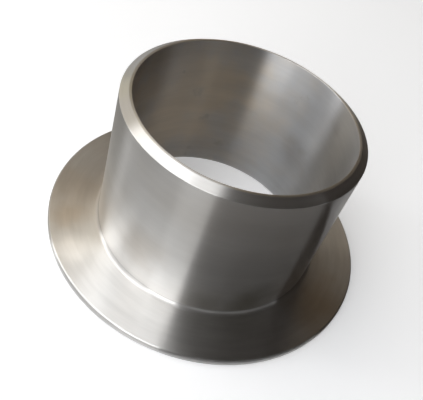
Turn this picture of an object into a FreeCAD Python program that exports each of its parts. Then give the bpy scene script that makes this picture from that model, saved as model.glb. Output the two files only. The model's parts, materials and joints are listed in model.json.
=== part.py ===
import FreeCAD, Part
import math
import os

import Sketcher
from FreeCAD import Vector

# A lap joint stub end, turned as one piece of stainless steel.
# A short plain barrel is butt welded to a pipe. A thin flat lap at its other end takes the gasket
# on its face, and a loose backing flange slides over the barrel and bears on the lap's back.
# +Z runs along the axis towards the weld end. The origin is the centre of the gasket face.

os.makedirs("parts", exist_ok=True)
doc = FreeCAD.newDocument("pipe_stub_end")

# Driving sizes, in millimetres and degrees
SIZES = [
    ("barrel_diameter", 88.9, "outside diameter of the barrel, as the pipe that it is welded to"),
    ("wall", 4.0, "wall of the barrel"),
    ("overall_length", 62.5, "from the gasket face to the weld end"),
    ("lap_diameter", 127.0, "outside diameter of the lap"),
    ("lap_thickness", 3.0, "from the gasket face to the back of the lap"),
    ("root_radius", 1.6, "fillet where the barrel meets the back of the lap"),
    ("rim_round", 0.7, "round on the lap's rim, at its back"),
    ("rim_break", 0.3, "chamfer on the lap's rim, at the gasket face"),
    ("mouth_break", 0.5, "chamfer on the bore's corner, at the gasket face"),
    ("bevel_angle", 33.0, "weld bevel, measured from the end face"),
    ("root_land", 1.0, "flat ring that the bevel leaves beside the bore"),
    ("cutter_overrun", 1.0, "how far the bevel cut runs past the metal"),
]

sheet = doc.addObject("Spreadsheet::Sheet", "Sizes")
for row, (alias, value, meaning) in enumerate(SIZES, start=1):
    sheet.set(f"A{row}", alias)
    sheet.set(f"B{row}", str(value))
    sheet.set(f"C{row}", meaning)
    sheet.setAlias(f"B{row}", alias)
doc.recompute()

BARREL_RADIUS = "Sizes.barrel_diameter / 2"
BORE_RADIUS = "Sizes.barrel_diameter / 2 - Sizes.wall"
LAP_RADIUS = "Sizes.lap_diameter / 2"
LAND_RADIUS = "Sizes.barrel_diameter / 2 - Sizes.wall + Sizes.root_land"

barrel_radius = sheet.barrel_diameter / 2
bore_radius = barrel_radius - sheet.wall
lap_radius = sheet.lap_diameter / 2
land_radius = bore_radius + sheet.root_land
bevel_slope = math.tan(math.radians(sheet.bevel_angle))

# A line's two ends, and the sketch's own level axis and origin, as its constraints number them
START, END = range(1, 3)
LEVEL_AXIS = -1
ORIGIN = (LEVEL_AXIS, START)


def origin_part(body, role):
    """Give one plane or axis of a body's own origin."""
    for feature in body.Origin.OriginFeatures:
        if feature.Role == role:
            return feature
    raise RuntimeError(f"{body.Label} has no {role}")


def section_sketch(body, name):
    """Start a sketch on the plane through the axis: X is the radius and Y is the height."""
    sketch = body.newObject("Sketcher::SketchObject", name)
    sketch.AttachmentSupport = [(origin_part(body, "XZ_Plane"), "")]
    sketch.MapMode = "FlatFace"
    return sketch


def closed_outline(sketch, corners):
    """Draw straight lines round the corners, joined end to start, and give their numbers."""
    lines = []
    for here, there in zip(corners, corners[1:] + corners[:1]):
        lines.append(sketch.addGeometry(Part.LineSegment(Vector(*here, 0), Vector(*there, 0)), False))
    for line, after in zip(lines, lines[1:] + lines[:1]):
        sketch.addConstraint(Sketcher.Constraint("Coincident", line, END, after, START))
    return lines


def square_up(sketch, line, way):
    """Hold a line level or upright."""
    sketch.addConstraint(Sketcher.Constraint(way, line))


def dimension(sketch, kind, name, first, second, formula):
    """Put a named dimension or angle between two places and tie it to the sizes."""
    at = sketch.addConstraint(Sketcher.Constraint(kind, *first, *second, sketch.evalExpression(formula)))
    sketch.renameConstraint(at, name)
    sketch.setExpression(f"Constraints.{name}", formula)


def turned(body, kind, sketch, name):
    """Turn a section all the way round the axis, adding metal or cutting it away."""
    feature = body.newObject(kind, name)
    feature.Profile = sketch
    feature.ReferenceAxis = (origin_part(body, "Z_Axis"), [""])
    feature.Angle = 360.0
    doc.recompute()
    return feature


def circle_edge(feature, radius, height):
    """Find the one circular edge of a feature that has this radius and this height."""
    found = []
    for number, edge in enumerate(feature.Shape.Edges, start=1):
        curve = edge.Curve
        if not isinstance(curve, Part.Circle):
            continue
        if math.isclose(curve.Radius, radius, abs_tol=1e-4) and math.isclose(curve.Center.z, height, abs_tol=1e-4):
            found.append(f"Edge{number}")
    if len(found) != 1:
        raise RuntimeError(f"{feature.Label} has {len(found)} edges of radius {radius:.3f} at {height:.3f}")
    return found[0]


def dress_up(body, kind, name, base, edge, prop, formula):
    """Round or chamfer one edge of the feature before it."""
    feature = body.newObject(kind, name)
    feature.Base = (base, [edge])
    feature.setExpression(prop, formula)
    doc.recompute()
    return feature


def stub_end():
    """Turn the whole stub end: its section, the weld bevel, and the rounds on its edges."""
    body = doc.addObject("PartDesign::Body", "stub_end")
    body.Label = "stub_end"
    body.Placement = FreeCAD.Placement()

    # The section of barrel and lap, with square corners
    section = section_sketch(body, "section")
    length = sheet.overall_length
    thickness = sheet.lap_thickness
    gasket_face, rim, lap_back, barrel_wall, end_face, bore_wall = closed_outline(section, [
        (bore_radius, 0),
        (lap_radius, 0),
        (lap_radius, thickness),
        (barrel_radius, thickness),
        (barrel_radius, length),
        (bore_radius, length),
    ])
    for line in (gasket_face, lap_back, end_face):
        square_up(section, line, "Horizontal")
    for line in (rim, barrel_wall, bore_wall):
        square_up(section, line, "Vertical")
    section.addConstraint(Sketcher.Constraint("PointOnObject", gasket_face, START, LEVEL_AXIS))
    dimension(section, "DistanceX", "bore_radius", ORIGIN, (gasket_face, START), BORE_RADIUS)
    dimension(section, "DistanceX", "lap_radius", ORIGIN, (gasket_face, END), LAP_RADIUS)
    dimension(section, "DistanceX", "barrel_radius", ORIGIN, (barrel_wall, START), BARREL_RADIUS)
    dimension(section, "DistanceY", "lap_thickness", (rim, START), (rim, END), "Sizes.lap_thickness")
    dimension(section, "DistanceY", "overall_length", (bore_wall, END), (bore_wall, START), "Sizes.overall_length")
    blank = turned(body, "PartDesign::Revolution", section, "turned_blank")

    # The weld bevel: a wedge whose slope passes through the land's outer edge on the end face
    bevel_section = section_sketch(body, "bevel_section")
    overrun = sheet.cutter_overrun
    inner = (land_radius - overrun / bevel_slope, length + overrun)
    outer_radius = barrel_radius + overrun
    outer = (outer_radius, length - (outer_radius - land_radius) * bevel_slope)
    slope, outside, above = closed_outline(bevel_section, [inner, outer, (outer_radius, length + overrun)])
    square_up(bevel_section, outside, "Vertical")
    square_up(bevel_section, above, "Horizontal")
    land_edge = bevel_section.addGeometry(Part.Point(Vector(land_radius, length, 0)), True)
    bevel_section.addConstraint(Sketcher.Constraint("PointOnObject", land_edge, START, slope))
    dimension(bevel_section, "DistanceX", "land_radius", ORIGIN, (land_edge, START), LAND_RADIUS)
    dimension(bevel_section, "DistanceY", "end_height", ORIGIN, (land_edge, START), "Sizes.overall_length")
    dimension(bevel_section, "DistanceX", "outer_reach", ORIGIN, (outside, START),
              f"{BARREL_RADIUS} + Sizes.cutter_overrun")
    dimension(bevel_section, "DistanceY", "upper_reach", ORIGIN, (outside, END),
              "Sizes.overall_length + Sizes.cutter_overrun")
    dimension(bevel_section, "Angle", "bevel_angle", (slope, START), (above, END), "Sizes.bevel_angle * 1 deg")
    bevel = turned(body, "PartDesign::Groove", bevel_section, "weld_bevel")

    # The edges: the root fillet adds metal, and the others take it off
    root = dress_up(body, "PartDesign::Fillet", "root_fillet", bevel,
                    circle_edge(bevel, barrel_radius, thickness), "Radius", "Sizes.root_radius")
    rounded = dress_up(body, "PartDesign::Fillet", "rim_round", root,
                       circle_edge(root, lap_radius, thickness), "Radius", "Sizes.rim_round")
    broken = dress_up(body, "PartDesign::Chamfer", "rim_break", rounded,
                      circle_edge(rounded, lap_radius, 0), "Size", "Sizes.rim_break")
    mouth = dress_up(body, "PartDesign::Chamfer", "mouth_break", broken,
                     circle_edge(broken, bore_radius, 0), "Size", "Sizes.mouth_break")

    # Every cut takes metal away, and the root fillet adds some
    stages = [blank, bevel, root, rounded, broken, mouth]
    for before, after in zip(stages, stages[1:]):
        change = after.Shape.Volume - before.Shape.Volume
        if (change > 0) != (after is root):
            raise RuntimeError(f"{after.Label} changes the volume by {change:.3f}")
    for sketch in (section, bevel_section):
        if not sketch.FullyConstrained:
            raise RuntimeError(f"{sketch.Label} isn't fully constrained")
    return body


bodies = [stub_end()]
doc.recompute()

for item in doc.Objects:
    if "Invalid" in item.State or "Error" in item.State:
        raise RuntimeError(f"{item.Label} failed: {item.State}")
for body in bodies:
    if body.Shape.isNull() or not body.Shape.isValid() or len(body.Shape.Solids) != 1:
        raise RuntimeError(f"{body.Label} isn't one valid solid")

for body in bodies:
    box = body.Shape.optimalBoundingBox()
    print(f"{body.Label}: {body.Shape.Volume:.1f} mm3, {len(body.Shape.Faces)} faces, "
          f"{box.XLength:.2f} x {box.YLength:.2f} x {box.ZLength:.2f} mm")
    body.Shape.exportStep(f"parts/{body.Label}.step")
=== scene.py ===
"""A turned stainless stub end for a pipe, on a plain pale studio floor."""
import json
import math
from typing import NamedTuple

import bmesh
import bpy
from bpy.props import FloatProperty, FloatVectorProperty, IntProperty, PointerProperty
from mathutils import Matrix, Vector


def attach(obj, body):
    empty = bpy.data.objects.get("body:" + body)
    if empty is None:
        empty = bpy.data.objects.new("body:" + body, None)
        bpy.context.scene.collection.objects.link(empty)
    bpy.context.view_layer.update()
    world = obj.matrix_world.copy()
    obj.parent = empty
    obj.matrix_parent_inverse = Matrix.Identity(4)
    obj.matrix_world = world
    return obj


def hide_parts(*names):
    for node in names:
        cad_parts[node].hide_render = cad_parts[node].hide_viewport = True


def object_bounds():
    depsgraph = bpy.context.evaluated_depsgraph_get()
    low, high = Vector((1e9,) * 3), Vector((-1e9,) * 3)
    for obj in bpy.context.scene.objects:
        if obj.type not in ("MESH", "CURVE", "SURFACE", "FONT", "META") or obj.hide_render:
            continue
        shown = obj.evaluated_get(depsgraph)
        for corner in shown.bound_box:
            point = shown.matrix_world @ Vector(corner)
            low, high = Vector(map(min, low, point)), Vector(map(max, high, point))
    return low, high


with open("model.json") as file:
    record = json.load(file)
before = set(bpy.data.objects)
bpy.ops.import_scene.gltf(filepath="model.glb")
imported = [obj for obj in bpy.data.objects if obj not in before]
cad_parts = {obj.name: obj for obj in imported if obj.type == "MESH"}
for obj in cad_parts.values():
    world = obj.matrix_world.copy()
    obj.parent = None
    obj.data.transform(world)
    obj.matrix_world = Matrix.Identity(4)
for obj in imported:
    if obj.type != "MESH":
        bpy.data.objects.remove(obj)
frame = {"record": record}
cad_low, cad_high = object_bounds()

bl_info = {
    "name": "Stub End",
    "version": (1, 0, 0),
    "blender": (4, 5, 0),
    "location": "3D View > Sidebar > Stub End",
    "description": "Turns a stainless pipe stub end and sets it on a studio floor",
    "category": "Add Mesh",
}

MILLIMETRE = 0.001

# Points nearer than this are one point
TINY = 0.002 * MILLIMETRE
# How far beyond a softened corner its guard point lies
SUPPORT = 0.06 * MILLIMETRE
# Edges that turn by more than this are shaded sharp
SHARP_ANGLE = math.radians(25)

mounts = {mount["name"]: mount for mount in frame["record"]["mounts"]}
BARREL_RADIUS = mounts["barrel"]["dims"]["r_mm"] * MILLIMETRE
BORE_RADIUS = mounts["bore"]["dims"]["r_mm"] * MILLIMETRE
LAP_THICKNESS = mounts["lap_back"]["pos_m"][2]
LAND_MIDDLE = mounts["weld_end"]["pos_m"][0]

# How each corner of the section is softened: the corner, the size that says how far, and its segments
SOFTENED = (
    ("mouth", "mouth_break", 1),
    ("bore_end", "edge_break", 3),
    ("land_edge", "edge_break", 2),
    ("bevel_foot", "edge_break", 3),
    ("root", "root_radius", 14),
    ("rim", "rim_round", 10),
    ("rim_foot", "rim_break", 1),
)

# How the long sides of the section are divided: the points that each runs between, and its cuts
DIVIDED = (
    ("bore_low", "bore_high", 15),
    ("bevel_high", "bevel_low", 1),
    ("barrel_high", "barrel_low", 15),
    ("lap_inner", "lap_outer", 7),
)

# Where one finish ends and the next begins, as a share of the break between them
BORE_BORDER = 0.2
BEVEL_BORDER = 0.5
GASKET_BORDER = 0.6

# Widths of the bright worn strips at the bevel's foot, at the weld end, and at the rim and mouth
FOOT_WEAR = 0.35 * MILLIMETRE
END_WEAR = 0.3 * MILLIMETRE
RIM_WEAR = 0.6 * MILLIMETRE
# How far the middle of a round or a break lies in from its corner, as a share of its size
ROUND_MIDDLE = 0.3
BREAK_MIDDLE = 0.5


class Grain(NamedTuple):
    """How one surface was turned and how it has aged."""

    # From groove to groove, and the depth of the bump that the grooves make, in metres
    pitch: float
    depth: float
    # Share by which the bands darken and lighten the tone
    streaks: float
    # Shares of the warm tint and of the dried stains
    warmth: float
    stains: float
    # What the rubbed places add to the roughness
    rubbed: float
    # Moves the clouds, so that no two surfaces have the same
    seed: float


GRAINS = {
    "turned_barrel": Grain(pitch=1.0 * MILLIMETRE, depth=0.0006 * MILLIMETRE, streaks=0.03, warmth=0.3,
                           stains=0.0, rubbed=0.03, seed=0.3),
    "turned_lap": Grain(pitch=0.9 * MILLIMETRE, depth=0.0014 * MILLIMETRE, streaks=0.07, warmth=0.3,
                        stains=0.0, rubbed=0.03, seed=1.7),
    "machined_bevel": Grain(pitch=0.5 * MILLIMETRE, depth=0.0005 * MILLIMETRE, streaks=0.04, warmth=0.2,
                            stains=0.0, rubbed=0.03, seed=2.9),
    "bored_wall": Grain(pitch=1.0 * MILLIMETRE, depth=0.0008 * MILLIMETRE, streaks=0.045, warmth=0.1,
                        stains=0.3, rubbed=0.04, seed=4.1),
    "gasket_face": Grain(pitch=0.3 * MILLIMETRE, depth=0.0006 * MILLIMETRE, streaks=0.06, warmth=0.3,
                         stains=0.1, rubbed=0.04, seed=5.3),
}

# Patches on the barrel, the bevel and the bore: azimuth in degrees, height, size, tint and share. Azimuth 0
# faces the camera and grows to the right. The warm, cream and grey patches are film; the dark patches low on
# the barrel's right are painted shade, and the straw ones in the bore are painted warm reflections.
BARREL_PATCHES = (
    (-27, 0.021, 0.015, "warm", 0.7),
    (12, 0.008, 0.011, "stain", 0.5),
    (34, 0.008, 0.015, "stain", 0.7),
)
BEVEL_PATCHES = (
    (-76, 0.0625, 0.014, "cream", 0.6),
)
BORE_PATCHES = (
    (228, 0.034, 0.064, "straw", 0.65),
    (205, 0.044, 0.021, "straw", 0.6),
    (134, 0.052, 0.013, "grey", 0.6),
    (141, 0.026, 0.012, "grey", 0.5),
    (228, 0.026, 0.023, "straw", 0.6),
)

# Patches on the lap's back, with a radius in place of the height. The brown patches are painted warm
# reflections, and the bright patch is a painted highlight at the edge of the lap's bright band.
LAP_PATCHES = (
    (-80, 0.054, 0.02, "brown", 0.5),
    (-65, 0.055, 0.01, "brown", 0.5),
    (-49, 0.057, 0.01, "clean", 0.8),
    (68, 0.054, 0.018, "brown", 0.7),
)

# The barrel's metal is painted brighter from this height down, over this distance, as a painted glow for the
# bright lap that its foot mirrors
PAINTED_GLOW_HEIGHT = 0.03
PAINTED_GLOW_FADE = 0.024
# A height below the whole piece, for the finishes that have no such place
NOWHERE = -1.0

# Bands for each groove, and how much they weigh in the bump beside the grooves
BANDS_PER_GROOVE = 0.16
BAND_RELIEF = 1.5
# How much bands and slow clouds change the roughness. Both are small, because this grain renders with
# hard lines where its roughness crosses 0.274.
BAND_ROUGHNESS = 0.01
SHEEN_ROUGHNESS = 0.02

# How near the worn edges come to the worn metal's colour
WEAR_SHARE = 0.6
# How uneven the borders of wear and of patches are
WEAR_UNEVENNESS = 1.2
PATCH_UNEVENNESS = 0.9

# Scales of the noises, from broad clouds to fine specks. Stains lie only in some regions.
SHEEN_SCALE = 22.0
WARMTH_SCALE = 24.0
RUBBED_SCALE = 30.0
REGION_SCALE = 30.0
PATCH_SCALE = 90.0
STAIN_SCALE = 110.0
WEAR_SCALE = 320.0

# Between which two values each effect goes from none to all. For wear and patches the value falls.
BAND_RANGE = (0.3, 0.7)
RUBBED_RANGE = (0.35, 0.75)
WARMTH_RANGE = (0.4, 0.68)
REGION_RANGE = (0.5, 0.62)
STAIN_RANGE = (0.6, 0.72)
WEAR_RANGE = (1.5, 0.6)
PATCH_RANGE = (1.5, 0.5)

# A quarter turn spreads the highlights across the grooves, which run round the axis
QUARTER_TURN = 0.25

DOWN = (0.0, 0.0, 0.0)
FRONT_TO_BACK = (math.radians(90), 0.0, 0.0)
BACK_TO_FRONT = (math.radians(-90), 0.0, 0.0)
LEFT_TO_RIGHT = (0.0, math.radians(-90), 0.0)

PLAIN = (1.0, 1.0, 1.0)
WARM = (1.0, 0.91, 0.77)

# Each softbox of the light tent: its name, two corners, the way it faces, its brightness setting, its tint
SOFTBOXES = (
    ("front_low", (-0.4, -0.8, 0.1), (0.0, -0.8, 0.45), FRONT_TO_BACK, "front_light", PLAIN),
    ("front_upper", (-0.4, -0.8, 0.45), (0.0, -0.8, 0.85), FRONT_TO_BACK, "upper_light", PLAIN),
    ("front_left", (-0.85, -0.8, 0.1), (-0.4, -0.8, 1.2), FRONT_TO_BACK, "wall_light", PLAIN),
    ("front_right", (0.0, -0.8, 0.04), (0.5, -0.8, 0.12), FRONT_TO_BACK, "right_light", PLAIN),
    ("left_wall", (-0.85, -0.8, 0.1), (-0.85, -0.15, 1.2), LEFT_TO_RIGHT, "left_light", PLAIN),
    ("left_strip", (-0.85, -0.15, 0.1), (-0.85, 0.0, 1.2), LEFT_TO_RIGHT, "strip_light", PLAIN),
    ("left_back", (-0.85, 0.0, 0.1), (-0.85, 0.8, 1.2), LEFT_TO_RIGHT, "back_light", WARM),
    ("back_wall", (-0.8, 0.8, 0.35), (-0.3, 0.8, 1.0), BACK_TO_FRONT, "back_wall_light", WARM),
    ("top_left", (-0.85, -0.8, 1.2), (-0.35, 0.4, 1.2), DOWN, "top_light", PLAIN),
    ("top_back", (-0.85, 0.4, 1.2), (-0.35, 1.0, 1.2), DOWN, "top_back_light", WARM),
    ("top_middle", (-0.35, -0.75, 1.2), (0.06, 0.6, 1.2), DOWN, "middle_light", PLAIN),
    ("top_right", (0.06, -0.75, 1.2), (0.5, -0.35, 1.2), DOWN, "top_right_light", PLAIN),
)

# Boards that the metal mirrors: name, the line that each runs along, lowest and highest edge, and the
# setting of its colour
BOARDS = (
    ("front_board", ((0.01, -0.3), (0.41, -0.06)), 0.055, 0.5, "board"),
    ("right_board", ((0.099, -0.03), (0.099, 0.45)), 0.0, 1.0, "board"),
    ("back_board", ((0.099, 0.45), (-0.15, 0.45)), 0.0, 1.0, "back_board"),
)

# Mats that the metal mirrors: name, which is also the setting of its colour, and the radii and the
# azimuths that each lies between
MATS = (
    ("right_mat", (0.065, 0.084), (0, 110)),
    ("right_outer_mat", (0.084, 0.25), (0, 95)),
    ("left_mat", (0.065, 0.081), (-180, 0)),
    ("left_outer_mat", (0.081, 0.4), (-180, 0)),
    ("inner_mat", (0.0, 0.039), (-180, 180)),
)

# The floor lies just under the gasket face
FLOOR_HEIGHT = -0.2 * MILLIMETRE
# Where the floor starts to be lifted more and where it is lifted most, as shares of the backdrop's radius
LIFT_START = 0.2
LIFT_END = 0.8
# Divisions round the floor and backdrop, and along a mat
STAGE_SEGMENTS = 96
MAT_STEPS = 48

# The camera's sensor in millimetres, and how near and how far off it sees
SENSOR_WIDTH = 36.0
NEAREST = 0.01
FARTHEST = 100.0


def length(name, description, default):
    """Describe one size in metres, which the sidebar shows and a user can change."""
    return FloatProperty(name=name, description=description, default=default, min=0.0,
                         precision=5, subtype="DISTANCE", unit="LENGTH")


def angle(name, description, degrees):
    """Describe one angle, given in degrees."""
    return FloatProperty(name=name, description=description, default=math.radians(degrees),
                         subtype="ANGLE", unit="ROTATION")


def colour(name, description, default):
    """Describe one plain colour."""
    return FloatVectorProperty(name=name, description=description, default=default,
                               min=0.0, max=1.0, size=3, subtype="COLOR")


def factor(name, description, default):
    """Describe one share between nothing and all."""
    return FloatProperty(name=name, description=description, default=default, min=0.0, max=1.0,
                         subtype="FACTOR")


def brightness(name, description, default):
    """Describe how bright a lamp's face or a lifted surface is, where 1 renders as white."""
    return FloatProperty(name=name, description=description, default=default, min=0.0, subtype="UNSIGNED")


class StubEndSizes(bpy.types.PropertyGroup):
    """Sizes of the turned piece."""

    barrel_radius: length("Barrel radius", "Outside radius of the barrel", BARREL_RADIUS)
    bore_radius: length("Bore radius", "Inside radius of the barrel", BORE_RADIUS)
    lap_radius: length("Lap radius", "Outside radius of the lap", cad_high.x)
    overall_length: length("Length", "From the gasket face to the weld end", cad_high.z)
    lap_thickness: length("Lap thickness", "From the gasket face to the lap's back", LAP_THICKNESS)
    root_land: length("Root land", "Width of the flat ring beside the bore", 2 * (LAND_MIDDLE - BORE_RADIUS))
    bevel_angle: angle("Bevel angle", "Weld bevel, measured from the end face", 33.0)
    root_radius: length("Root radius", "Fillet where the barrel meets the lap", 1.6 * MILLIMETRE)
    rim_round: length("Rim round", "Round on the lap's rim, at its back", 0.7 * MILLIMETRE)
    rim_break: length("Rim break", "Chamfer on the lap's rim, at the gasket face", 0.3 * MILLIMETRE)
    mouth_break: length("Mouth break", "Chamfer on the bore's corner, at the gasket face", 0.5 * MILLIMETRE)
    edge_break: length("Edge break", "What a file leaves on the weld end's sharp edges", 0.1 * MILLIMETRE)
    serration_pitch: length("Serration pitch", "From groove to groove on the gasket face", 0.5 * MILLIMETRE)
    serration_depth: length("Serration depth", "Depth of the grooves on the gasket face", 0.02 * MILLIMETRE)
    serration_margin: length("Serration margin", "Plain ring beside the face's edges", 1.0 * MILLIMETRE)
    turn_steps: IntProperty(name="Turn steps", description="Divisions round the axis", default=360, min=24)


class StubEndFinish(bpy.types.PropertyGroup):
    """Colours and roughness of the metal. Some colours are painted light: a brighter barrel, a painted glow,
    painted shade and painted reflections.
    """

    metal: colour("Metal", "Clean turned stainless", (0.63, 0.625, 0.615))
    # Painted light: the barrel's stainless is a brighter copy of the lap's metal, so that the barrel shows
    # brighter reflections than the lamps give it
    brightened_barrel_metal: colour("Barrel metal", "Clean turned stainless of the barrel", (0.72, 0.715, 0.705))
    bored_metal: colour("Bored metal", "Cooler grey of the bored wall", (0.6, 0.61, 0.625))
    warm: colour("Warm tint", "Where handling and heat have warmed the tone", (0.58, 0.54, 0.49))
    # Painted glow: this bright colour is laid on the barrel's foot, where it stands in for the bright lap
    # mirrored there, and as a painted highlight on the lap at the edge of its bright band
    clean: colour("Clean metal", "Bright metal at the barrel's foot and on the lap", (0.9, 0.895, 0.885))
    brown: colour("Brown tint", "Where heat has left a brown film", (0.5, 0.42, 0.33))
    # Painted reflection: the brown patches on the lap stand in for a warm surrounding mirrored in the metal
    worn: colour("Worn metal", "Bright metal along the worn edges", (0.66, 0.655, 0.65))
    cream: colour("Cream tint", "Where heat has left a pale film", (0.6, 0.59, 0.49))
    grey: colour("Grey film", "Dull grey film beside the bore's bright streak", (0.4, 0.4, 0.41))
    # Painted reflection: the straw patches in the bore stand in for a warm surrounding mirrored in the metal
    straw: colour("Straw tint", "Where heat has left a straw film in the bore", (0.75, 0.63, 0.48))
    # Real dried stains, and painted shade: the dark patches low on the barrel's right foot
    stain: colour("Stain", "Dried marks, and dull places at the barrel's foot", (0.38, 0.36, 0.3))
    barrel_roughness: factor("Barrel", "Roughness of the barrel", 0.288)
    lap_roughness: factor("Lap", "Roughness of the lap's back", 0.305)
    bevel_roughness: factor("Bevel", "Roughness of the weld bevel", 0.295)
    bore_roughness: factor("Bore", "Roughness of the bore", 0.4)
    gasket_roughness: factor("Gasket face", "Roughness of the gasket face", 0.36)


class StubEndStage(bpy.types.PropertyGroup):
    """Camera, floor and backdrop, lamps, and the boards and mats that the metal mirrors."""

    camera_place: FloatVectorProperty(
        name="Camera", description="Where the camera stands", subtype="TRANSLATION", unit="LENGTH",
        default=(0.0, -0.17015, 0.18059))
    camera_aim: FloatVectorProperty(
        name="Aim", description="What the camera points at", subtype="TRANSLATION", unit="LENGTH",
        default=(-0.00112, -0.01538, 0.03))
    camera_roll: angle("Camera roll", "Turn of the picture about its middle", 20.377)
    lens: FloatProperty(name="Lens", description="Focal length on a 36 mm wide sensor", default=50.606,
                        subtype="DISTANCE_CAMERA", unit="CAMERA")
    floor: colour("Floor", "Pale studio floor", (0.9, 0.91, 0.93))
    floor_glow: brightness(
        "Floor glow", "What lifts the floor towards white where it is seen or mirrored", 0.27)
    backdrop_glow: brightness("Backdrop glow", "How pale the backdrop and the floor's far end are", 0.6)
    backdrop_radius: length("Backdrop radius", "How far off the backdrop stands all round", 4.0)
    backdrop_height: length("Backdrop height", "How high the backdrop reaches", 1.1)
    board: colour("Board", "Dark boards that the metal mirrors at the right", (0.05, 0.045, 0.042))
    back_board: colour("Back board", "Brown board behind the piece", (0.37, 0.3, 0.22))
    right_mat: colour("Right mat", "Dark mat on the floor at the right", (0.055, 0.05, 0.045))
    right_outer_mat: colour("Right outer mat", "Mat on the floor beyond the dark one", (0.13, 0.12, 0.11))
    left_mat: colour("Left mat", "Grey mat on the floor at the left", (0.47, 0.46, 0.44))
    left_outer_mat: colour("Left outer mat", "Darker mat on the floor beyond it", (0.2, 0.197, 0.192))
    inner_mat: colour("Inner mat", "Grey mat on the floor inside the bore", (0.62, 0.61, 0.6))
    front_light: brightness("Front light", "Softbox in front, left of the middle", 3.9)
    upper_light: brightness("Upper light", "Softbox above it", 2.4)
    wall_light: brightness("Wall light", "Softbox at the front left", 1.4)
    left_light: brightness("Left light", "Softbox at the left, towards the front", 0.95)
    strip_light: brightness("Strip light", "Narrow softbox straight at the left", 3.8)
    right_light: brightness("Right light", "Low softbox at the front right", 0.7)
    back_light: brightness("Back light", "Softbox at the back left", 0.6)
    back_wall_light: brightness("Back wall light", "Softbox behind, at the left", 0.5)
    top_light: brightness("Top light", "Softbox overhead at the left", 2.75)
    top_back_light: brightness("Top back light", "Softbox overhead at the back left", 1.4)
    middle_light: brightness("Middle light", "Softbox overhead in the middle", 1.1)
    top_right_light: brightness("Top right light", "Weak softbox overhead at the front right", 0.25)
    room: colour("Room", "Plain light of the room all round", (0.116, 0.112, 0.109))


def bevel_foot_height(sizes):
    """Give the height at which the weld bevel meets the barrel."""
    drop = sizes.barrel_radius - sizes.bore_radius - sizes.root_land
    return sizes.overall_length - drop * math.tan(sizes.bevel_angle)


def section_points(sizes):
    """Give the section's points as radius and height, from the bore's mouth round to the gasket face.

    Besides the corners there are guard points close beside the softened ones, so that the long faces
    shade flat up to them.
    """
    top = sizes.overall_length
    foot = bevel_foot_height(sizes)
    land_edge = Vector((sizes.bore_radius + sizes.root_land, top))
    bevel_foot = Vector((sizes.barrel_radius, foot))
    down_bevel = (bevel_foot - land_edge).normalized()
    guard = sizes.edge_break + SUPPORT
    root_guard = sizes.root_radius + SUPPORT
    return {
        "mouth": (sizes.bore_radius, 0.0),
        "bore_low": (sizes.bore_radius, sizes.mouth_break + SUPPORT),
        "bore_high": (sizes.bore_radius, top - guard),
        "bore_end": (sizes.bore_radius, top),
        "land_edge": land_edge,
        "bevel_high": land_edge + guard * down_bevel,
        "bevel_low": bevel_foot - guard * down_bevel,
        "bevel_foot": bevel_foot,
        "barrel_high": (sizes.barrel_radius, foot - guard),
        "barrel_low": (sizes.barrel_radius, sizes.lap_thickness + root_guard),
        "root": (sizes.barrel_radius, sizes.lap_thickness),
        "lap_inner": (sizes.barrel_radius + root_guard, sizes.lap_thickness),
        "lap_outer": (sizes.lap_radius - sizes.rim_round - SUPPORT, sizes.lap_thickness),
        "rim": (sizes.lap_radius, sizes.lap_thickness),
        "rim_foot": (sizes.lap_radius, 0.0),
        "serration_outer": (sizes.lap_radius - sizes.serration_margin, 0.0),
        "serration_inner": (sizes.bore_radius + sizes.mouth_break + sizes.serration_margin, 0.0),
    }


def draw_section(mesh, sizes):
    """Draw the closed section beside the axis, soften its corners, and divide and serrate its sides."""
    points = section_points(sizes)
    at = {name: mesh.verts.new((radius, 0.0, height)) for name, (radius, height) in points.items()}
    names = list(at)
    for here, there in zip(names, names[1:] + names[:1]):
        mesh.edges.new((at[here], at[there]))
    for name, size, segments in SOFTENED:
        bmesh.ops.bevel(mesh, geom=[at[name]], offset=getattr(sizes, size), segments=segments, profile=0.5,
                        affect="VERTICES", material=-1)
    for first, second, cuts in DIVIDED:
        side = find_side(mesh, points[first], points[second])
        bmesh.ops.subdivide_edges(mesh, edges=[side], cuts=cuts)
    serrate(mesh, find_side(mesh, points["serration_outer"], points["serration_inner"]), sizes)


def find_side(mesh, first, second):
    """Find the side of the section that runs between two points."""
    ends = [Vector((radius, 0.0, height)) for radius, height in (first, second)]
    for edge in mesh.edges:
        if all(min((vert.co - end).length for vert in edge.verts) < TINY for end in ends):
            return edge
    raise RuntimeError(f"the section has no side between {first} and {second}")


def serrate(mesh, side, sizes):
    """Cut fine grooves, ring beside ring, into the gasket face's side of the section."""
    grooves = round(side.calc_length() / sizes.serration_pitch)
    made = bmesh.ops.subdivide_edges(mesh, edges=[side], cuts=2 * grooves - 1)
    points = [item for item in made["geom_inner"] if isinstance(item, bmesh.types.BMVert)]
    points.sort(key=lambda point: point.co.x)
    bmesh.ops.translate(mesh, verts=points[::2], vec=(0.0, 0.0, sizes.serration_depth))


def turn(mesh, steps):
    """Turn the section all the way round the axis, close the seam and point the faces outwards."""
    bmesh.ops.spin(mesh, geom=mesh.verts[:] + mesh.edges[:], cent=(0, 0, 0), axis=(0, 0, 1),
                   angle=math.tau, steps=steps, use_merge=True)
    bmesh.ops.remove_doubles(mesh, verts=mesh.verts, dist=TINY)
    bmesh.ops.recalc_face_normals(mesh, faces=mesh.faces)


def check_closed(mesh):
    """Raise if any edge doesn't lie between two faces, or if the shape is inside out."""
    if any(len(edge.link_faces) != 2 for edge in mesh.edges):
        raise RuntimeError("the turned piece isn't closed")
    if mesh.calc_volume(signed=True) <= 0:
        raise RuntimeError("the turned piece is inside out")


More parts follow.
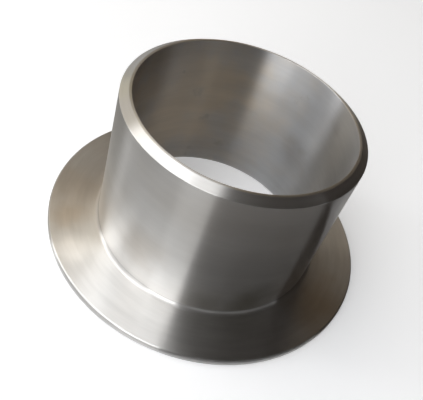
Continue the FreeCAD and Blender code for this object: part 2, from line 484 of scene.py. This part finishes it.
def finish_of(face, sizes):
    """Name the finish that one face of the turned piece has."""
    middle = face.calc_center_median()
    radius = math.hypot(middle.x, middle.y)
    if radius < sizes.bore_radius + BORE_BORDER * sizes.edge_break:
        return "bored_wall"
    if middle.z > bevel_foot_height(sizes) - BEVEL_BORDER * sizes.edge_break:
        return "machined_bevel"
    if middle.z < GASKET_BORDER * sizes.mouth_break:
        return "gasket_face"
    if radius < sizes.barrel_radius + TINY:
        return "turned_barrel"
    return "turned_lap"


def node(tree, kind, inputs=None, **settings):
    """Add one node, choose its settings, and then give each of the named inputs a value or a link."""
    made = tree.nodes.new("ShaderNode" + kind)
    for name, value in settings.items():
        setattr(made, name, value)
    for name, value in (inputs or {}).items():
        give(tree, made.inputs[name], value)
    return made


def give(tree, socket, value):
    """Link a socket where the value is another socket, and set it otherwise."""
    if isinstance(value, bpy.types.NodeSocket):
        tree.links.new(value, socket)
    else:
        socket.default_value = value


def calculate(tree, operation, *values):
    """Work out one number from others and give the socket that it comes from."""
    return node(tree, "Math", dict(enumerate(values)), operation=operation).outputs["Value"]


def times_plus(tree, value, factor, offset):
    """Give value * factor + offset."""
    return calculate(tree, "MULTIPLY_ADD", value, factor, offset)


def rise(tree, value, low, high):
    """Go smoothly from 0 at the low value to 1 at the high one."""
    return node(tree, "MapRange", {"Value": value, "From Min": low, "From Max": high},
                interpolation_type="SMOOTHSTEP").outputs["Result"]


def noise(tree, place, scale=1.0, detail=2.0, roughness=0.5):
    """Give plain noise at a place."""
    return node(tree, "TexNoise", {"Vector": place, "Scale": scale, "Detail": detail,
                                   "Roughness": roughness}).outputs["Fac"]


def mix_colour(tree, share, first, second):
    """Mix two colours by a share."""
    made = node(tree, "Mix", data_type="RGBA")
    by_name = {socket.identifier: socket for socket in made.inputs}
    give(tree, by_name["Factor_Float"], share)
    give(tree, by_name["A_Color"], first)
    give(tree, by_name["B_Color"], second)
    return next(socket for socket in made.outputs if socket.identifier == "Result_Color")


def lay_over(tree, mask, share, under, over):
    """Lay a plain colour over another one, by a share of a mask."""
    return mix_colour(tree, calculate(tree, "MULTIPLY", mask, share), under, (*over, 1.0))


def new_group(name, inputs, outputs):
    """Start a shader node group with named sockets, and give its tree and its two end nodes."""
    tree = bpy.data.node_groups.new(name, "ShaderNodeTree")
    for label, default in inputs.items():
        socket = tree.interface.new_socket(label, in_out="INPUT", socket_type="NodeSocketFloat")
        socket.default_value = default
    for label in outputs:
        tree.interface.new_socket(label, in_out="OUTPUT", socket_type="NodeSocketFloat")
    asked = tree.nodes.new("NodeGroupInput")
    given = tree.nodes.new("NodeGroupOutput")
    return tree, asked.outputs, given.inputs


def place_group(tree, name, inputs=None):
    """Place a group in a tree with its own values, and give its outputs."""
    return node(tree, "Group", inputs, node_tree=bpy.data.node_groups[name]).outputs


def lathe_place(tree):
    """Give the point, its X, Y and Z, its radius, and how far it is along the section."""
    point = node(tree, "TexCoord").outputs["Object"]
    x, y, z = node(tree, "SeparateXYZ", {"Vector": point}).outputs
    flat = node(tree, "CombineXYZ", {"X": x, "Y": y}).outputs["Vector"]
    radius = node(tree, "VectorMath", {0: flat}, operation="LENGTH").outputs["Value"]
    return point, x, y, z, radius, calculate(tree, "SUBTRACT", radius, z)


def turned_grooves():
    """Group: grooves and bands that a lathe tool leaves round the axis, with a slow change of sheen."""
    tree, asked, given = new_group(
        "Turned Grooves", {"Pitch": 0.3 * MILLIMETRE, "Drift": 20.0}, ["Grooves", "Bands", "Sheen"])
    point, x, y, _, _, across = lathe_place(tree)
    drift_x = calculate(tree, "MULTIPLY", x, asked["Drift"])
    drift_y = calculate(tree, "MULTIPLY", y, asked["Drift"])
    count = calculate(tree, "DIVIDE", across, asked["Pitch"])
    fine = node(tree, "CombineXYZ", {"X": drift_x, "Y": drift_y, "Z": count})
    broad = node(tree, "CombineXYZ", {
        "X": drift_x, "Y": drift_y, "Z": calculate(tree, "MULTIPLY", count, BANDS_PER_GROOVE)})
    give(tree, given["Grooves"], noise(tree, fine.outputs["Vector"], detail=3.0, roughness=0.6))
    give(tree, given["Bands"], noise(tree, broad.outputs["Vector"], detail=3.0, roughness=0.65))
    give(tree, given["Sheen"], noise(tree, point, scale=SHEEN_SCALE))


def rubs_and_painted_glow():
    """Group: soft rubbed places, and what lies below a height, with a soft border, where the painted glow
    goes.
    """
    tree, asked, given = new_group(
        "Handling Marks", {"Seed": 0.0, "Height": 0.03, "Fade": 0.02}, ["Rubbed", "Below"])
    point, _, _, z, _, _ = lathe_place(tree)
    moved = node(tree, "VectorMath", {0: point, 1: asked["Seed"]}, operation="ADD").outputs["Vector"]
    rubbed = noise(tree, moved, scale=RUBBED_SCALE, detail=1.0)
    give(tree, given["Rubbed"], rise(tree, rubbed, *RUBBED_RANGE))
    drop = calculate(tree, "DIVIDE", calculate(tree, "SUBTRACT", asked["Height"], z), asked["Fade"])
    give(tree, given["Below"], rise(tree, drop, 0.0, 1.0))


def tarnish():
    """Group: a slow warm tint, and small dried stains in some regions."""
    tree, asked, given = new_group("Tarnish", {"Seed": 0.0}, ["Warmth", "Stains"])
    point = lathe_place(tree)[0]
    moved = node(tree, "VectorMath", {0: point, 1: asked["Seed"]}, operation="ADD").outputs["Vector"]
    give(tree, given["Warmth"], rise(tree, noise(tree, moved, scale=WARMTH_SCALE), *WARMTH_RANGE))
    blots = noise(tree, moved, scale=STAIN_SCALE, detail=4.0, roughness=0.55)
    region = noise(tree, moved, scale=REGION_SCALE, detail=1.0)
    give(tree, given["Stains"], calculate(
        tree, "MULTIPLY", rise(tree, blots, *STAIN_RANGE), rise(tree, region, *REGION_RANGE)))


def worn_edge():
    """Group: wear that fades away from one edge circle, with an uneven border."""
    tree, asked, given = new_group(
        "Worn Edge", {"Edge Radius": 0.04, "Edge Height": 0.0, "Width": 0.4 * MILLIMETRE}, ["Wear"])
    point, _, _, z, radius, _ = lathe_place(tree)
    aside = calculate(tree, "SUBTRACT", radius, asked["Edge Radius"])
    above = calculate(tree, "SUBTRACT", z, asked["Edge Height"])
    distance = calculate(tree, "SQRT", calculate(
        tree, "ADD", calculate(tree, "MULTIPLY", aside, aside), calculate(tree, "MULTIPLY", above, above)))
    share = calculate(tree, "DIVIDE", distance, asked["Width"])
    uneven = times_plus(tree, noise(tree, point, scale=WEAR_SCALE, detail=3.0), WEAR_UNEVENNESS, share)
    give(tree, given["Wear"], rise(tree, uneven, *WEAR_RANGE))


def soft_patch():
    """Group: one soft patch round a point, with a cloudy border."""
    tree, asked, given = new_group(
        "Soft Patch", {"X": 0.0, "Y": 0.0, "Z": 0.0, "Size": 0.01}, ["Patch"])
    point = lathe_place(tree)[0]
    centre = node(tree, "CombineXYZ", {"X": asked["X"], "Y": asked["Y"], "Z": asked["Z"]}).outputs["Vector"]
    distance = node(tree, "VectorMath", {0: point, 1: centre}, operation="DISTANCE").outputs["Value"]
    share = calculate(tree, "DIVIDE", distance, asked["Size"])
    cloudy = times_plus(tree, noise(tree, point, scale=PATCH_SCALE), PATCH_UNEVENNESS, share)
    give(tree, given["Patch"], rise(tree, cloudy, *PATCH_RANGE))


def on_circle(radius, azimuth, height):
    """Give a point on a turned surface. Azimuth 0 faces the camera and grows to the right."""
    turned = math.radians(azimuth)
    return {"X": radius * math.sin(turned), "Y": -radius * math.cos(turned), "Z": height}


def on_wall(rows, finish, radius):
    """Place a table's patches on a wall of this radius, where each row gives a height."""
    return [(on_circle(radius, azimuth, height), size, getattr(finish, tint), share)
            for azimuth, height, size, tint, share in rows]


def on_face(rows, finish, height):
    """Place a table's patches on a level face at this height, where each row gives a radius."""
    return [(on_circle(radius, azimuth, height), size, getattr(finish, tint), share)
            for azimuth, radius, size, tint, share in rows]


def metal(name, finish, tone, roughness, edges, patches=(), clean_below=NOWHERE):
    """Make one turned finish: grain round the axis, tints, stains, rubbed places and worn edges, with
    painted light: a painted glow below a height, and patches of painted shade, highlight and reflection.

    Edges are circles as radius, height and width. Patches are a place, a size, a tint and its share.
    """
    grain = GRAINS[name]
    material = bpy.data.materials.new(name)
    material.use_nodes = True
    tree = material.node_tree
    shader = tree.nodes["Principled BSDF"]
    grooves = place_group(tree, "Turned Grooves", {"Pitch": grain.pitch})
    # The rubbed places change only the roughness; Below is the mask of the painted glow
    marks = place_group(tree, "Handling Marks", {
        "Seed": grain.seed, "Height": clean_below, "Fade": PAINTED_GLOW_FADE})
    film = place_group(tree, "Tarnish", {"Seed": grain.seed})

    # Painted glow: below the height the tone is mixed towards a bright colour, standing in for the bright
    # lap mirrored in the barrel's foot
    shown = mix_colour(tree, marks["Below"], (*tone, 1.0), (*finish.clean, 1.0))
    shown = lay_over(tree, film["Warmth"], grain.warmth, shown, finish.warm)
    for place, size, tint, share in patches:
        patch = place_group(tree, "Soft Patch", {**place, "Size": size})
        shown = lay_over(tree, patch["Patch"], share, shown, tint)
    shown = lay_over(tree, film["Stains"], grain.stains, shown, finish.stain)
    bands = rise(tree, grooves["Bands"], *BAND_RANGE)
    shade = times_plus(tree, bands, 2 * grain.streaks, 1 - grain.streaks)
    shown = node(tree, "VectorMath", {0: shown, "Scale": shade}, operation="SCALE").outputs["Vector"]
    for radius, height, width in edges:
        edge = place_group(tree, "Worn Edge", {"Edge Radius": radius, "Edge Height": height, "Width": width})
        shown = lay_over(tree, edge["Wear"], WEAR_SHARE, shown, finish.worn)

    rough = times_plus(tree, grooves["Bands"], BAND_ROUGHNESS, roughness - BAND_ROUGHNESS / 2)
    rough = times_plus(tree, calculate(tree, "SUBTRACT", grooves["Sheen"], 0.5), SHEEN_ROUGHNESS, rough)
    rough = times_plus(tree, marks["Rubbed"], grain.rubbed, rough)
    relief = times_plus(tree, grooves["Bands"], BAND_RELIEF, grooves["Grooves"])
    bump = node(tree, "Bump", {"Height": relief, "Strength": 1.0, "Distance": grain.depth})

    give(tree, shader.inputs["Base Color"], shown)
    give(tree, shader.inputs["Roughness"], rough)
    give(tree, shader.inputs["Normal"], bump.outputs["Normal"])
    shader.inputs["Metallic"].default_value = 1.0
    shader.inputs["Anisotropic"].default_value = 1.0
    shader.inputs["Anisotropic Rotation"].default_value = QUARTER_TURN
    tangent = node(tree, "Tangent", direction_type="RADIAL", axis="Z")
    give(tree, shader.inputs["Tangent"], tangent.outputs["Tangent"])
    return material


def worn_edges(sizes):
    """Give each edge that wears bright as its radius, its height and the width of its worn strip."""
    top = sizes.overall_length
    into_rim = ROUND_MIDDLE * sizes.rim_round
    into_mouth = BREAK_MIDDLE * sizes.mouth_break
    return {
        "bevel_foot": (sizes.barrel_radius, bevel_foot_height(sizes), FOOT_WEAR),
        "land_edge": (sizes.bore_radius + sizes.root_land, top, END_WEAR),
        "bore_end": (sizes.bore_radius, top, END_WEAR),
        "rim": (sizes.lap_radius - into_rim, sizes.lap_thickness - into_rim, RIM_WEAR),
        "mouth": (sizes.bore_radius + into_mouth, into_mouth, RIM_WEAR),
    }


def finishes(sizes, finish):
    """Make the five finishes of the turned piece."""
    for group in (turned_grooves, rubs_and_painted_glow, tarnish, worn_edge, soft_patch):
        group()
    worn = worn_edges(sizes)
    looks = {
        "turned_barrel": {
            "tone": finish.brightened_barrel_metal,
            "roughness": finish.barrel_roughness,
            "edges": [worn["bevel_foot"]],
            "patches": on_wall(BARREL_PATCHES, finish, sizes.barrel_radius),
            "clean_below": PAINTED_GLOW_HEIGHT,
        },
        "turned_lap": {
            "tone": finish.metal,
            "roughness": finish.lap_roughness,
            "edges": [worn["rim"]],
            "patches": on_face(LAP_PATCHES, finish, sizes.lap_thickness),
        },
        "machined_bevel": {
            "tone": finish.metal,
            "roughness": finish.bevel_roughness,
            "edges": [worn["bevel_foot"], worn["land_edge"], worn["bore_end"]],
            "patches": on_wall(BEVEL_PATCHES, finish, sizes.barrel_radius),
        },
        "bored_wall": {
            "tone": finish.bored_metal,
            "roughness": finish.bore_roughness,
            "edges": [worn["bore_end"]],
            "patches": on_wall(BORE_PATCHES, finish, sizes.bore_radius),
        },
        "gasket_face": {
            "tone": finish.metal,
            "roughness": finish.gasket_roughness,
            "edges": [worn["mouth"]],
        },
    }
    return {name: metal(name, finish, **look) for name, look in looks.items()}


class STUBEND_OT_turn_piece(bpy.types.Operator):
    """Turn the stub end from its section and give each surface its finish"""

    bl_idname = "stub_end.turn_piece"
    bl_label = "Turn Stub End"

    def execute(self, context):
        sizes = context.scene.stub_end_sizes
        mesh = bmesh.new()
        draw_section(mesh, sizes)
        turn(mesh, sizes.turn_steps)
        check_closed(mesh)
        made = finishes(sizes, context.scene.stub_end_finish)
        order = list(made)
        for face in mesh.faces:
            face.smooth = True
            face.material_index = order.index(finish_of(face, sizes))
        for edge in mesh.edges:
            edge.smooth = edge.calc_face_angle() < SHARP_ANGLE
        data = bpy.data.meshes.new("stub_end_turned")
        mesh.to_mesh(data)
        mesh.free()
        for material in made.values():
            data.materials.append(material)
        piece = bpy.data.objects.new("stub_end_turned", data)
        context.scene.collection.objects.link(piece)
        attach(piece, "root")
        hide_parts("stub_end")
        return {"FINISHED"}


def plain_material(name, shade):
    """Make a matt material of one colour for the stage."""
    material = bpy.data.materials.new(name)
    material.use_nodes = True
    shader = material.node_tree.nodes["Principled BSDF"]
    shader.inputs["Base Color"].default_value = (*shade, 1.0)
    shader.inputs["Roughness"].default_value = 1.0
    shader.inputs["Specular IOR Level"].default_value = 0.0
    return material


def add_stage_object(context, name, mesh, material):
    """Put a finished mesh into the scene as part of the stage."""
    data = bpy.data.meshes.new(name)
    mesh.to_mesh(data)
    mesh.free()
    data.materials.append(material)
    made = bpy.data.objects.new(name, data)
    context.scene.collection.objects.link(made)
    return made


def lift(tree, strength):
    """Lift a matt material towards white, alike for the camera, metal and glass, and for nothing else."""
    ray = node(tree, "LightPath").outputs
    seen = calculate(tree, "MAXIMUM", ray["Is Camera Ray"], calculate(
        tree, "MAXIMUM", ray["Is Glossy Ray"], ray["Is Transmission Ray"]))
    shader = tree.nodes["Principled BSDF"]
    shader.inputs["Emission Color"].default_value = (1.0, 1.0, 1.0, 1.0)
    give(tree, shader.inputs["Emission Strength"], calculate(tree, "MULTIPLY", seen, strength))


def add_floor(context, stage):
    """Lay a plain pale floor, whose far end is lifted as much as the backdrop that it meets."""
    mesh = bmesh.new()
    bmesh.ops.create_circle(mesh, cap_ends=True, radius=stage.backdrop_radius, segments=STAGE_SEGMENTS,
                            matrix=Matrix.Translation((0.0, 0.0, FLOOR_HEIGHT)))
    material = plain_material("pale_floor", stage.floor)
    tree = material.node_tree
    *_, radius, _ = lathe_place(tree)
    far = rise(tree, radius, LIFT_START * stage.backdrop_radius, LIFT_END * stage.backdrop_radius)
    lift(tree, times_plus(tree, far, stage.backdrop_glow - stage.floor_glow, stage.floor_glow))
    add_stage_object(context, "floor", mesh, material)


def add_backdrop(context, stage):
    """Stand a plain pale backdrop all round, which is even because no lamp's light shows on it."""
    mesh = bmesh.new()
    middle = 0.5 * stage.backdrop_height + FLOOR_HEIGHT
    bmesh.ops.create_cone(mesh, cap_ends=False, radius1=stage.backdrop_radius, radius2=stage.backdrop_radius,
                          depth=stage.backdrop_height, segments=STAGE_SEGMENTS,
                          matrix=Matrix.Translation((0.0, 0.0, middle)))
    material = plain_material("pale_backdrop", (0.0, 0.0, 0.0))
    lift(material.node_tree, stage.backdrop_glow)
    add_stage_object(context, "backdrop", mesh, material)


def add_reflected(context, name, mesh, shade):
    """Put in a board or mat that only the metal mirrors: the camera and the floor don't see it."""
    board = add_stage_object(context, name, mesh, plain_material(name, shade))
    board.visible_camera = False
    board.visible_diffuse = False
    board.visible_shadow = False


def add_board(context, name, line, bottom, top, shade):
    """Put up a board along a line on the floor, from its lowest to its highest edge."""
    mesh = bmesh.new()
    edge = mesh.edges.new([mesh.verts.new((x, y, bottom)) for x, y in line])
    raised = bmesh.ops.extrude_edge_only(mesh, edges=[edge])["geom"]
    bmesh.ops.translate(mesh, verts=[item for item in raised if isinstance(item, bmesh.types.BMVert)],
                        vec=(0.0, 0.0, top - bottom))
    add_reflected(context, name, mesh, shade)


def add_mat(context, name, radii, azimuths, shade):
    """Lay a flat ring, or part of one, round the piece: between two radii and two azimuths."""
    first, last = [math.radians(azimuth) for azimuth in azimuths]
    mesh = bmesh.new()
    ends = [mesh.verts.new((radius * math.sin(first), -radius * math.cos(first), 0.0)) for radius in radii]
    bmesh.ops.spin(mesh, geom=[mesh.edges.new(ends)], cent=(0, 0, 0), axis=(0, 0, 1), angle=last - first,
                   steps=MAT_STEPS, use_merge=last - first == math.tau)
    bmesh.ops.remove_doubles(mesh, verts=mesh.verts, dist=TINY)
    add_reflected(context, name, mesh, shade)


def add_softbox(context, name, low, high, turned, strength, tint):
    """Hang one rectangular softbox that fills the box from low to high, and faces along its turned -Z.

    Its power follows from its size, so that its face is as bright as asked.
    """
    low, high = Vector(low), Vector(high)
    width, depth = [value for value in high - low if value > 0]
    lamp = bpy.data.lights.new(name, "AREA")
    lamp.shape = "RECTANGLE"
    lamp.size, lamp.size_y = (depth, width) if turned == LEFT_TO_RIGHT else (width, depth)
    lamp.energy = strength * math.pi * width * depth
    lamp.color = tint
    made = bpy.data.objects.new(name, lamp)
    made.location = (low + high) / 2
    made.rotation_euler = turned
    context.scene.collection.objects.link(made)


class STUBEND_OT_set_stage(bpy.types.Operator):
    """Set the camera, floor, backdrop and softboxes, and the boards and mats that the metal mirrors"""

    bl_idname = "stub_end.set_stage"
    bl_label = "Set Stage"

    def execute(self, context):
        stage = context.scene.stub_end_stage
        camera = bpy.data.objects.new("camera", bpy.data.cameras.new("camera"))
        context.scene.collection.objects.link(camera)
        camera.data.sensor_width = SENSOR_WIDTH
        camera.data.lens = stage.lens
        camera.data.clip_start = NEAREST
        camera.data.clip_end = FARTHEST
        place = Vector(stage.camera_place)
        aim = (Vector(stage.camera_aim) - place).to_track_quat("-Z", "Y").to_matrix()
        turned = (aim @ Matrix.Rotation(stage.camera_roll, 3, "Z")).to_4x4()
        camera.matrix_world = Matrix.Translation(place) @ turned
        context.scene.camera = camera

        add_floor(context, stage)
        add_backdrop(context, stage)
        for name, line, bottom, top, setting in BOARDS:
            add_board(context, name, line, bottom, top, getattr(stage, setting))
        for name, radii, azimuths in MATS:
            add_mat(context, name, radii, azimuths, getattr(stage, name))
        for name, low, high, turned, setting, tint in SOFTBOXES:
            add_softbox(context, name, low, high, turned, getattr(stage, setting), tint)

        world = bpy.data.worlds.new("studio")
        world.use_nodes = True
        world.node_tree.nodes["Background"].inputs["Color"].default_value = (*stage.room, 1.0)
        context.scene.world = world
        context.scene.view_settings.view_transform = "Standard"
        return {"FINISHED"}


class STUBEND_PT_panel(bpy.types.Panel):
    """The stub end's operators, sizes and colours"""

    bl_idname = "STUBEND_PT_panel"
    bl_label = "Stub End"
    bl_space_type = "VIEW_3D"
    bl_region_type = "UI"
    bl_category = "Stub End"

    def draw(self, context):
        scene = context.scene
        for operator, settings in (
            ("stub_end.turn_piece", (scene.stub_end_sizes, scene.stub_end_finish)),
            ("stub_end.set_stage", (scene.stub_end_stage,)),
        ):
            self.layout.operator(operator)
            for group in settings:
                column = self.layout.column(align=True)
                for name in group.bl_rna.properties.keys():
                    if name not in ("rna_type", "name"):
                        column.prop(group, name)


CLASSES = (StubEndSizes, StubEndFinish, StubEndStage, STUBEND_OT_turn_piece, STUBEND_OT_set_stage,
           STUBEND_PT_panel)


def register():
    """Make the classes and the scene's settings known."""
    for cls in CLASSES:
        bpy.utils.register_class(cls)
    bpy.types.Scene.stub_end_sizes = PointerProperty(type=StubEndSizes)
    bpy.types.Scene.stub_end_finish = PointerProperty(type=StubEndFinish)
    bpy.types.Scene.stub_end_stage = PointerProperty(type=StubEndStage)


def unregister():
    """Take the scene's settings and the classes away again."""
    del bpy.types.Scene.stub_end_stage
    del bpy.types.Scene.stub_end_finish
    del bpy.types.Scene.stub_end_sizes
    for cls in reversed(CLASSES):
        bpy.utils.unregister_class(cls)


def main():
    """Build the piece and its stage."""
    register()
    bpy.ops.stub_end.turn_piece()
    bpy.ops.stub_end.set_stage()


if __name__ == "__main__":
    main()
